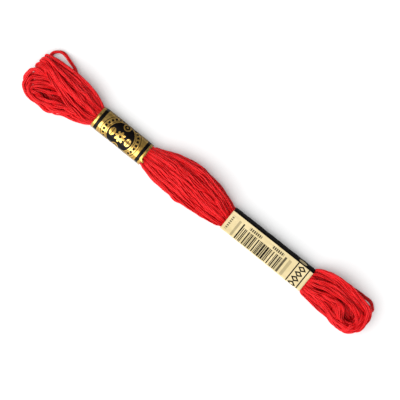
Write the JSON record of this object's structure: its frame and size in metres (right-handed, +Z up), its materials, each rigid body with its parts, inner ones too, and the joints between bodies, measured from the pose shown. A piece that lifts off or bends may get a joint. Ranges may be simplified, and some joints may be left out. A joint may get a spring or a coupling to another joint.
{
  "type": "skein of embroidery floss",
  "caption": "Hank of red stranded cotton folded into a long pull skein with looped ends, held drawn in by paper bands and lying flat.",
  "frame": {"origin": "on the surface it lies on, under the middle of the box of the whole skein", "axes": "+X along the skein from the short band's end to the long band's end, +Y across it, +Z up from the surface"},
  "size_m": [0.1647, 0.0224, 0.0096],
  "materials": {
    "floss": "mercerised cotton, soft sheen",
    "foil_band": "gold foil paper with black print, glossy",
    "paper_band": "cream-gold coated paper with black print, satin"
  },
  "bodies": {
    "root": {"floss_hank": "floss", "short_band": "foil_band", "long_band": "paper_band"}
  },
  "joints": []
}
